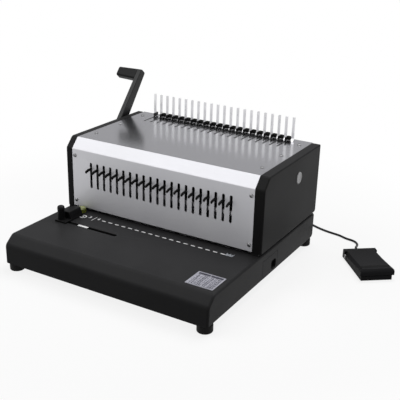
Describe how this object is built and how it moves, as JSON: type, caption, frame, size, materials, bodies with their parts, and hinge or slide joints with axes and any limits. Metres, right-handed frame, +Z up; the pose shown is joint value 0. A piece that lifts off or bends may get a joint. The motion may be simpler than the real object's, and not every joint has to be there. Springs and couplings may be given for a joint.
{
  "type": "electric comb binding punch",
  "caption": "Desk machine that punches a row of slots in paper with a foot switch and opens plastic combs with a side lever.",
  "frame": {"origin": "on the surface the machine stands on, under the centre of its base", "axes": "+X to the operator's right, +Y to the rear, +Z up"},
  "size_m": [0.6352, 0.4938, 0.2776],
  "materials": {
    "black_shell": "fine satin texture",
    "silver_sheet": "smooth satin",
    "black_rubber": "matte",
    "zinc_plate": "zinc plated",
    "machined_steel": "machined",
    "black_steel": "satin",
    "black_plastic": "satin",
    "grey_plastic": "satin",
    "bronze": "plain",
    "circuit_board": "lacquered",
    "olive_plastic": "gloss",
    "cord_rubber": "matte"
  },
  "bodies": {
    "machine": {"base_cover": "black_shell", "left_side_cover": "black_shell", "right_side_cover": "black_shell", "silver_cover": "silver_sheet", "feet": "black_rubber", "base_pan": "zinc_plate", "rear_panel": "black_steel", "case_screws": "zinc_plate", "cover_plug": "grey_plastic", "frame_plates": "zinc_plate", "die_plate": "machined_steel", "punch_guide": "machined_steel", "return_springs": "machined_steel", "gear_motor": "black_steel", "shaft_bushes": "bronze", "comb_fingers": "zinc_plate", "control_board": "circuit_board", "power_inlet": "black_plastic", "pedal_base": "black_plastic", "pedal_switch": "grey_plastic", "cord_glands": "black_rubber", "pedal_cord": "cord_rubber", "pedal_cord_coil": "cord_rubber"},
    "ram": {"ram_beam": "machined_steel", "punches": "machined_steel"},
    "camshaft_body": {"camshaft": "machined_steel"},
    "motor_shaft": {"motor_pinion": "machined_steel"},
    "lever": {"lever_shaft": "machined_steel", "lever_arm": "black_steel", "lever_grip": "black_plastic"},
    "hook_slide": {"hook_carriage": "black_steel", "hook_rollers": "black_plastic"},
    "side_guide": {"edge_guide": "black_plastic"},
    "guide_knob": {"edge_guide_knob": "black_plastic"},
    "dial": {"margin_dial": "olive_plastic"},
    "back_stop": {"depth_stop": "zinc_plate"},
    "drawer": {"chip_drawer": "black_plastic"},
    "rocker": {"power_rocker": "black_plastic"},
    "tread": {"pedal_tread": "black_plastic"},
    "pull_tab_01_body": {"pull_tab_01": "black_steel"},
    "pull_tab_02_body": {"pull_tab_02": "black_steel"},
    "pull_tab_03_body": {"pull_tab_03": "black_steel"},
    "pull_tab_04_body": {"pull_tab_04": "black_steel"},
    "pull_tab_05_body": {"pull_tab_05": "black_steel"},
    "pull_tab_06_body": {"pull_tab_06": "black_steel"},
    "pull_tab_07_body": {"pull_tab_07": "black_steel"},
    "pull_tab_08_body": {"pull_tab_08": "black_steel"},
    "pull_tab_09_body": {"pull_tab_09": "black_steel"},
    "pull_tab_10_body": {"pull_tab_10": "black_steel"},
    "pull_tab_11_body": {"pull_tab_11": "black_steel"},
    "pull_tab_12_body": {"pull_tab_12": "black_steel"},
    "pull_tab_13_body": {"pull_tab_13": "black_steel"},
    "pull_tab_14_body": {"pull_tab_14": "black_steel"},
    "pull_tab_15_body": {"pull_tab_15": "black_steel"},
    "pull_tab_16_body": {"pull_tab_16": "black_steel"},
    "pull_tab_17_body": {"pull_tab_17": "black_steel"},
    "pull_tab_18_body": {"pull_tab_18": "black_steel"},
    "pull_tab_19_body": {"pull_tab_19": "black_steel"},
    "pull_tab_20_body": {"pull_tab_20": "black_steel"},
    "pull_tab_21_body": {"pull_tab_21": "black_steel"}
  },
  "joints": [
    {"name": "camshaft_turn", "type": "hinge", "parent": "machine", "child": "camshaft_body", "pos_m": [0, 0.037, 0.15], "axis": [1, 0, 0], "range_deg": [0, 180]},
    {"name": "ram_press", "type": "slide", "parent": "machine", "child": "ram", "axis": [0, 0, -1], "range_m": [0, 0.01], "deforming": ["return_springs"]},
    {"name": "motor_turn", "type": "hinge", "parent": "machine", "child": "motor_shaft", "pos_m": [-0.089, 0.064, 0.11783], "axis": [1, 0, 0], "range_deg": [-540, 0]},
    {"name": "lever_pull", "type": "hinge", "parent": "machine", "child": "lever", "pos_m": [-0.205, 0.0989, 0.13], "axis": [1, 0, 0], "range_deg": [0, 90]},
    {"name": "hook_slide_travel", "type": "slide", "parent": "machine", "child": "hook_slide", "axis": [0, -1, 0], "range_m": [0, 0.033]},
    {"name": "edge_guide_slide", "type": "slide", "parent": "machine", "child": "side_guide", "axis": [1, 0, 0], "range_m": [0, 0.053]},
    {"name": "guide_knob_turn", "type": "hinge", "parent": "side_guide", "child": "guide_knob", "pos_m": [-0.1645, -0.0915, 0.08], "axis": [0, 0, 1], "range_deg": [0, 180]},
    {"name": "margin_dial_turn", "type": "hinge", "parent": "machine", "child": "dial", "pos_m": [-0.1605, -0.0402, 0.067], "axis": [0, 0, 1], "range_deg": [0, 180]},
    {"name": "depth_stop_travel", "type": "slide", "parent": "machine", "child": "back_stop", "axis": [0, 1, 0], "range_m": [0, 0.004]},
    {"name": "drawer_pull", "type": "slide", "parent": "machine", "child": "drawer", "axis": [1, 0, 0], "range_m": [0, 0.28]},
    {"name": "rocker_tip", "type": "hinge", "parent": "machine", "child": "rocker", "pos_m": [-0.092, 0.1986, 0.038], "axis": [1, 0, 0], "range_deg": [0, 14]},
    {"name": "tread_press", "type": "hinge", "parent": "machine", "child": "tread", "pos_m": [0.30289, 0.18076, 0.007], "axis": [0.788, 0.6157, 0], "range_deg": [0, 5], "stiffness_Nm_per_rad": 3, "springref_deg": -8.59},
    {"name": "pull_tab_01_slide", "type": "slide", "parent": "ram", "child": "pull_tab_01_body", "axis": [0, -1, 0], "range_m": [0, 0.008]},
    {"name": "pull_tab_02_slide", "type": "slide", "parent": "ram", "child": "pull_tab_02_body", "axis": [0, -1, 0], "range_m": [0, 0.008]},
    {"name": "pull_tab_03_slide", "type": "slide", "parent": "ram", "child": "pull_tab_03_body", "axis": [0, -1, 0], "range_m": [0, 0.008]},
    {"name": "pull_tab_04_slide", "type": "slide", "parent": "ram", "child": "pull_tab_04_body", "axis": [0, -1, 0], "range_m": [0, 0.008]},
    {"name": "pull_tab_05_slide", "type": "slide", "parent": "ram", "child": "pull_tab_05_body", "axis": [0, -1, 0], "range_m": [0, 0.008]},
    {"name": "pull_tab_06_slide", "type": "slide", "parent": "ram", "child": "pull_tab_06_body", "axis": [0, -1, 0], "range_m": [0, 0.008]},
    {"name": "pull_tab_07_slide", "type": "slide", "parent": "ram", "child": "pull_tab_07_body", "axis": [0, -1, 0], "range_m": [0, 0.008]},
    {"name": "pull_tab_08_slide", "type": "slide", "parent": "ram", "child": "pull_tab_08_body", "axis": [0, -1, 0], "range_m": [0, 0.008]},
    {"name": "pull_tab_09_slide", "type": "slide", "parent": "ram", "child": "pull_tab_09_body", "axis": [0, -1, 0], "range_m": [0, 0.008]},
    {"name": "pull_tab_10_slide", "type": "slide", "parent": "ram", "child": "pull_tab_10_body", "axis": [0, -1, 0], "range_m": [0, 0.008]},
    {"name": "pull_tab_11_slide", "type": "slide", "parent": "ram", "child": "pull_tab_11_body", "axis": [0, -1, 0], "range_m": [0, 0.008]},
    {"name": "pull_tab_12_slide", "type": "slide", "parent": "ram", "child": "pull_tab_12_body", "axis": [0, -1, 0], "range_m": [0, 0.008]},
    {"name": "pull_tab_13_slide", "type": "slide", "parent": "ram", "child": "pull_tab_13_body", "axis": [0, -1, 0], "range_m": [0, 0.008]},
    {"name": "pull_tab_14_slide", "type": "slide", "parent": "ram", "child": "pull_tab_14_body", "axis": [0, -1, 0], "range_m": [0, 0.008]},
    {"name": "pull_tab_15_slide", "type": "slide", "parent": "ram", "child": "pull_tab_15_body", "axis": [0, -1, 0], "range_m": [0, 0.008]},
    {"name": "pull_tab_16_slide", "type": "slide", "parent": "ram", "child": "pull_tab_16_body", "axis": [0, -1, 0], "range_m": [0, 0.008]},
    {"name": "pull_tab_17_slide", "type": "slide", "parent": "ram", "child": "pull_tab_17_body", "axis": [0, -1, 0], "range_m": [0, 0.008]},
    {"name": "pull_tab_18_slide", "type": "slide", "parent": "ram", "child": "pull_tab_18_body", "axis": [0, -1, 0], "range_m": [0, 0.008]},
    {"name": "pull_tab_19_slide", "type": "slide", "parent": "ram", "child": "pull_tab_19_body", "axis": [0, -1, 0], "range_m": [0, 0.008]},
    {"name": "pull_tab_20_slide", "type": "slide", "parent": "ram", "child": "pull_tab_20_body", "axis": [0, -1, 0], "range_m": [0, 0.008]},
    {"name": "pull_tab_21_slide", "type": "slide", "parent": "ram", "child": "pull_tab_21_body", "axis": [0, -1, 0], "range_m": [0, 0.008]}
  ],
  "couplings": [
    {"joint": "ram_press", "follows": "camshaft_turn", "m_per_rad": 0.0031831},
    {"joint": "motor_turn", "follows": "camshaft_turn", "ratio": -3},
    {"joint": "hook_slide_travel", "follows": "lever_pull", "m_per_rad": 0.021},
    {"joint": "margin_dial_turn", "follows": "depth_stop_travel", "rad_per_m": 785.4}
  ]
}
